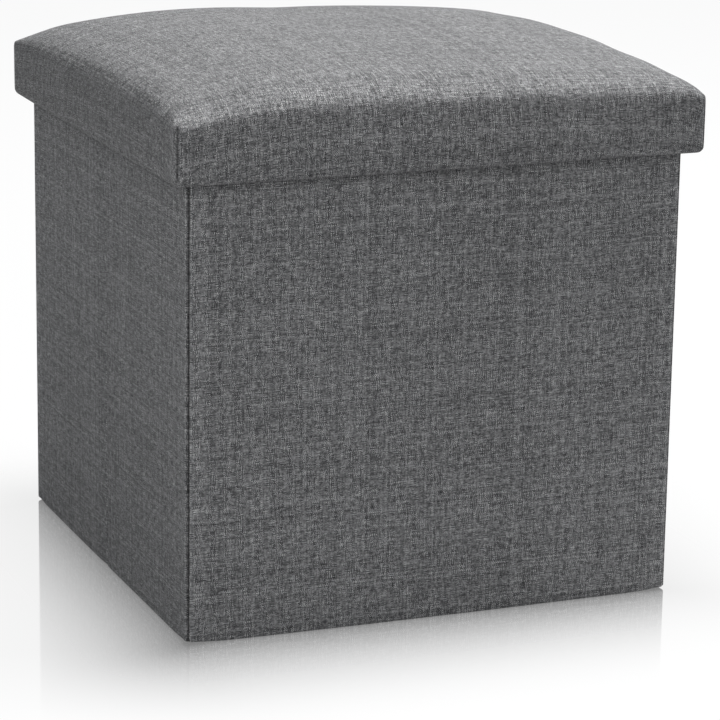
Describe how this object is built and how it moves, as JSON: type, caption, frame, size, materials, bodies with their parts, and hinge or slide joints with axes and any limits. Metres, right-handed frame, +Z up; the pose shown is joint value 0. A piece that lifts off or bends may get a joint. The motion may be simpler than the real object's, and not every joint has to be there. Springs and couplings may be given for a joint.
{
  "type": "collapsible storage ottoman",
  "caption": "Square fabric-covered storage ottoman with a padded, domed lift-off lid over a hollow cube; its side walls crease inwards so that the empty cube folds flat.",
  "frame": {"origin": "on the ground at the middle of the cube", "axes": "+Z up; -Y is the front, the side away from the rear wall that the cube folds back to; +X is to the right seen from the front"},
  "size_m": [0.38, 0.38, 0.3799],
  "materials": {
    "linen_fabric": "slubbed grey linen-look weave",
    "nonwoven_lining": "black non-woven cloth",
    "ribbon": "black ribbon",
    "fibreboard": "bare medium-density fibreboard",
    "foam": "open-cell foam"
  },
  "bodies": {
    "rear_wall": {"rear_wall_cover": "linen_fabric", "rear_wall_board": "fibreboard", "rear_wall_lining": "nonwoven_lining", "rear_wall_hem": "linen_fabric", "rear_left_corner": "linen_fabric", "rear_right_corner": "linen_fabric", "floor_hinge_cloth": "nonwoven_lining"},
    "left_rear_panel": {"left_rear_panel_cover": "linen_fabric", "left_rear_panel_board": "fibreboard", "left_rear_panel_lining": "nonwoven_lining", "left_rear_panel_hem": "linen_fabric"},
    "left_front_panel": {"left_front_panel_cover": "linen_fabric", "left_front_panel_board": "fibreboard", "left_front_panel_lining": "nonwoven_lining", "left_front_panel_hem": "linen_fabric"},
    "front_wall": {"front_wall_cover": "linen_fabric", "front_wall_board": "fibreboard", "front_wall_lining": "nonwoven_lining", "front_wall_hem": "linen_fabric", "front_left_corner": "linen_fabric", "front_right_corner": "linen_fabric"},
    "right_rear_panel": {"right_rear_panel_cover": "linen_fabric", "right_rear_panel_board": "fibreboard", "right_rear_panel_lining": "nonwoven_lining", "right_rear_panel_hem": "linen_fabric"},
    "right_front_panel": {"right_front_panel_cover": "linen_fabric", "right_front_panel_board": "fibreboard", "right_front_panel_lining": "nonwoven_lining", "right_front_panel_hem": "linen_fabric"},
    "floor": {"floor_board": "fibreboard", "floor_bottom_cloth": "nonwoven_lining", "floor_top_cloth": "nonwoven_lining", "floor_pull_tab": "ribbon"},
    "lid": {"lid_cover": "linen_fabric", "lid_foam": "foam", "lid_board": "fibreboard", "lid_lining": "nonwoven_lining", "lid_rim_front": "fibreboard", "lid_rim_rear": "fibreboard", "lid_rim_left": "fibreboard", "lid_rim_right": "fibreboard"}
  },
  "joints": [
    {"name": "left_rear_fold", "type": "hinge", "parent": "rear_wall", "child": "left_rear_panel", "pos_m": [-0.173, 0.1665, 0.173], "axis": [0, 0, 1], "range_deg": [0, 88], "deforming": ["left_rear_panel_hem", "left_front_panel_hem", "front_wall_hem", "right_rear_panel_hem", "right_front_panel_hem"]},
    {"name": "left_front_fold", "type": "hinge", "parent": "left_rear_panel", "child": "left_front_panel", "pos_m": [-0.178, 0, 0.173], "axis": [0, 0, -1], "range_deg": [0, 176]},
    {"name": "front_wall_fold", "type": "hinge", "parent": "left_front_panel", "child": "front_wall", "pos_m": [-0.173, -0.1665, 0.173], "axis": [0, 0, 1], "range_deg": [0, 88]},
    {"name": "right_rear_fold", "type": "hinge", "parent": "rear_wall", "child": "right_rear_panel", "pos_m": [0.173, 0.1665, 0.173], "axis": [0, 0, -1], "range_deg": [0, 88]},
    {"name": "right_front_fold", "type": "hinge", "parent": "right_rear_panel", "child": "right_front_panel", "pos_m": [0.178, 0, 0.173], "axis": [0, 0, 1], "range_deg": [0, 176]},
    {"name": "floor_lift", "type": "hinge", "parent": "rear_wall", "child": "floor", "pos_m": [0, 0.1714, 0.0042], "axis": [-1, 0, 0], "range_deg": [0, 90]},
    {"name": "lid_lift", "type": "slide", "parent": "rear_wall", "child": "lid", "axis": [0, 0, 1], "range_m": [0, 0.25]}
  ],
  "couplings": [
    {"joint": "left_front_fold", "follows": "left_rear_fold", "ratio": 2},
    {"joint": "front_wall_fold", "follows": "left_rear_fold", "ratio": 1},
    {"joint": "right_rear_fold", "follows": "left_rear_fold", "ratio": 1},
    {"joint": "right_front_fold", "follows": "left_rear_fold", "ratio": 2}
  ]
}
